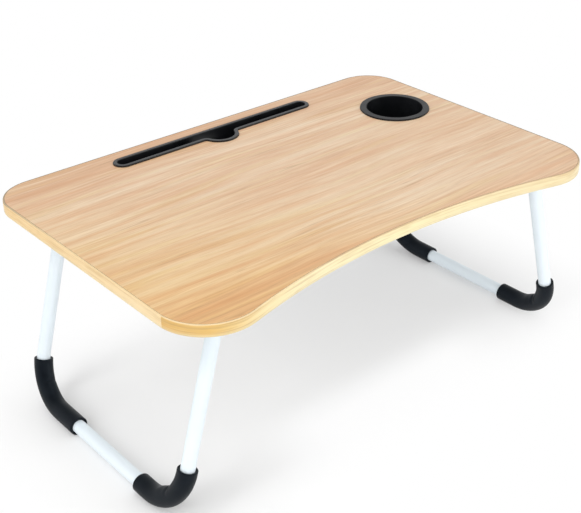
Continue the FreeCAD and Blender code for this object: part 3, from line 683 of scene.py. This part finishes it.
def floor_glow(s, x, y):
    """How far the floor shows as plain white, painting the shadow's reach: little in it, more in the
    painted bay, fully outside.
    """
    skewed_y = s.math("MULTIPLY_ADD", x, -SHADOW_SKEW, y)
    beside = s.math("SUBTRACT", s.distance(x, SHADOW_SHIFT), SHADOW_HALF_LENGTH)
    half_depth = s.range(x, LEFT_PART, RIGHT_PART, SHADOW_DEPTH_LEFT, SHADOW_DEPTH_RIGHT)
    before = s.math("SUBTRACT", s.math("ABSOLUTE", skewed_y), half_depth)
    outside = s.math("SMOOTH_MAX", beside, before, SHADOW_BLEND)
    shadow_glow = s.range(x, LEFT_PART, RIGHT_PART, GLOW_LEFT, GLOW_RIGHT)
    glow = s.range(outside, GLOW_NEAR, GLOW_FAR, shadow_glow, 1.0)
    # The bay is painted light: more white under the front dip
    bay = s.range(s.distance(x, BAY_X), BAY_HALF, BAY_HALF + BAY_BLEND, BAY_PAINTED_LIGHT, 0.0)
    bay = s.math("MULTIPLY", bay, s.range(y, BAY_BACK, BAY_FRONT))
    return s.math("MULTIPLY_ADD", s.math("SUBTRACT", 1.0, glow), bay, glow)


def make_floor_finish():
    """A pale floor that keeps the object's soft shadow, painted darker at the left, and turns white a
    little way outside the board.
    """
    s = Surface("floor", Roughness=1.0, Specular_IOR_Level=0.0)
    seen = seen_share(s)
    x, y, _ = s.separate(s.place)
    glow = s.math("MULTIPLY", floor_glow(s, x, y), seen)
    painted_seen_shade = s.range(x, LEFT_PART, RIGHT_PART, PAINTED_SHADE_LEFT, PAINTED_SHADE_RIGHT)
    bounce = s.range(x, BOUNCE_FROM, BOUNCE_TO, BOUNCE_LIGHT_LEFT, BOUNCE_LIGHT_RIGHT)
    shade = s.math("MULTIPLY", s.math("SUBTRACT", 1.0, glow), s.range(seen, 0.0, 1.0, bounce, painted_seen_shade))
    s.set(Base_Color=s.combine(shade, shade, shade), Emission_Color=(1.0, 1.0, 1.0), Emission_Strength=glow)
    return s.material


def make_floor():
    mesh = bpy.data.meshes.new("floor")
    corners = [(-FLOOR_HALF, -FLOOR_HALF, 0), (FLOOR_HALF, -FLOOR_HALF, 0),
               (FLOOR_HALF, FLOOR_HALF, 0), (-FLOOR_HALF, FLOOR_HALF, 0)]
    mesh.from_pydata(corners, [], [(0, 1, 2, 3)])
    mesh.materials.append(make_floor_finish())
    floor = bpy.data.objects.new("floor", mesh)
    bpy.context.scene.collection.objects.link(floor)
    return floor


# Light: the level of the room, and in reflections of its ceiling and its dark side

AMBIENT = 0.74
CEILING, CEILING_FROM, CEILING_TO = 0.25, 0.45, 0.85
DARK_SIDE, DARK_FROM, DARK_TO = 0.10, 0.25, 0.85
DARK_DIRECTION = (-0.64, -0.77, 0.0)

# Each lamp: its place, the point it is turned to, its width, its power and whether reflections show it
LAMPS = {
    "top": ((-0.20, -0.50, 2.2), (0.0, 0.0, 0.2), 2.0, 8.0, False),
    "left": ((-2.60, 0.00, 4.0), (0.0, 0.0, 0.2), 1.2, 30.0, False),
    "low_left": ((-3.20, -0.40, 0.90), (0.0, 0.0, 0.1), 1.2, 19.0, False),
    "front": ((-0.70, -1.75, 0.55), (0.0, 0.0, 0.15), 1.2, 5.4, True),
    "right": ((1.00, -1.60, 0.50), (0.0, 0.0, 0.15), 0.8, 7.0, True),
    "floor_left": ((-2.55, -0.65, 1.65), (0.0, 0.0, 0.0), 1.2, 26.0, False),
}
FLOOR_LAMP = "floor_left"


def make_world():
    """Even light, seen as plain white; reflections find a darker ceiling and a darker front left side."""
    world = bpy.data.worlds.new("studio")
    world.use_nodes = True
    n = Nodes(world.node_tree)
    direction = n.add("ShaderNodeTexCoord", {}).outputs["Generated"]
    path = n.add("ShaderNodeLightPath", {}).outputs
    mirrored = n.range(n.separate(direction)[2], CEILING_FROM, CEILING_TO, 1.0, CEILING)
    ahead = n.vector_math("DOT_PRODUCT", direction, DARK_DIRECTION)["Value"]
    mirrored = n.math("MULTIPLY", mirrored, n.range(ahead, DARK_FROM, DARK_TO, 1.0, DARK_SIDE))
    level = n.range(path["Is Glossy Ray"], 0.0, 1.0, AMBIENT, mirrored)
    level = n.range(path["Is Transmission Ray"], 0.0, 1.0, level, 1.0)
    level = n.range(path["Is Camera Ray"], 0.0, 1.0, level, 1.0)
    background = n.add("ShaderNodeBackground", {"Color": (1.0, 1.0, 1.0), "Strength": level})
    n.add("ShaderNodeOutputWorld", {"Surface": background.outputs[0]})
    bpy.context.scene.world = world


def make_softbox(name, place, target, size, power, mirrored):
    """A square lamp turned to a target, with or without its own reflection in glossy surfaces."""
    data = bpy.data.lights.new(name, "AREA")
    data.shape = "SQUARE"
    data.size = size
    data.energy = power
    lamp = bpy.data.objects.new(name, data)
    lamp.visible_camera = False
    lamp.visible_glossy = mirrored
    lamp.location = place
    lamp.rotation_mode = "QUATERNION"
    lamp.rotation_quaternion = (Vector(target) - Vector(place)).to_track_quat("-Z", "Y")
    bpy.context.scene.collection.objects.link(lamp)
    return lamp


def light_only(lamp, lit_object):
    """Let a lamp light one object alone; the others still cast its shadows."""
    lit = bpy.data.collections.new(lamp.name)
    lit.objects.link(lit_object)
    lamp.light_linking.receiver_collection = lit


def make_light(floor):
    make_world()
    lamps = {name: make_softbox(name, *settings) for name, settings in LAMPS.items()}
    light_only(lamps[FLOOR_LAMP], floor)


# Camera, fitted to the board's outline in the photograph
CAMERA_PLACE = Vector((-0.79483, -0.93614, 0.83876))
CAMERA_YAW, CAMERA_PITCH, CAMERA_ROLL = math.radians(39.69), math.radians(29.43), math.radians(0.67)
IMAGE_WIDTH, FOCAL_PIXELS = 581, 1159.8
SENSOR_WIDTH = 36.0


def make_camera():
    data = bpy.data.cameras.new("camera")
    data.sensor_fit = "HORIZONTAL"
    data.sensor_width = SENSOR_WIDTH
    data.lens = FOCAL_PIXELS * SENSOR_WIDTH / IMAGE_WIDTH
    camera = bpy.data.objects.new("camera", data)
    yaw, pitch, roll = CAMERA_YAW, CAMERA_PITCH, CAMERA_ROLL
    ahead = Vector((math.sin(yaw) * math.cos(pitch), math.cos(yaw) * math.cos(pitch), -math.sin(pitch)))
    level = Vector((math.cos(yaw), -math.sin(yaw), 0.0))
    down = ahead.cross(level)
    right = math.cos(roll) * level + math.sin(roll) * down
    down = ahead.cross(right)
    turn = Matrix((right, -down, -ahead)).transposed().to_4x4()
    camera.matrix_world = Matrix.Translation(CAMERA_PLACE) @ turn
    bpy.context.scene.collection.objects.link(camera)
    bpy.context.scene.camera = camera


dress_board()
dress_legs()
make_pieces()
make_light(make_floor())
make_camera()
bpy.context.scene.view_settings.view_transform = "Standard"
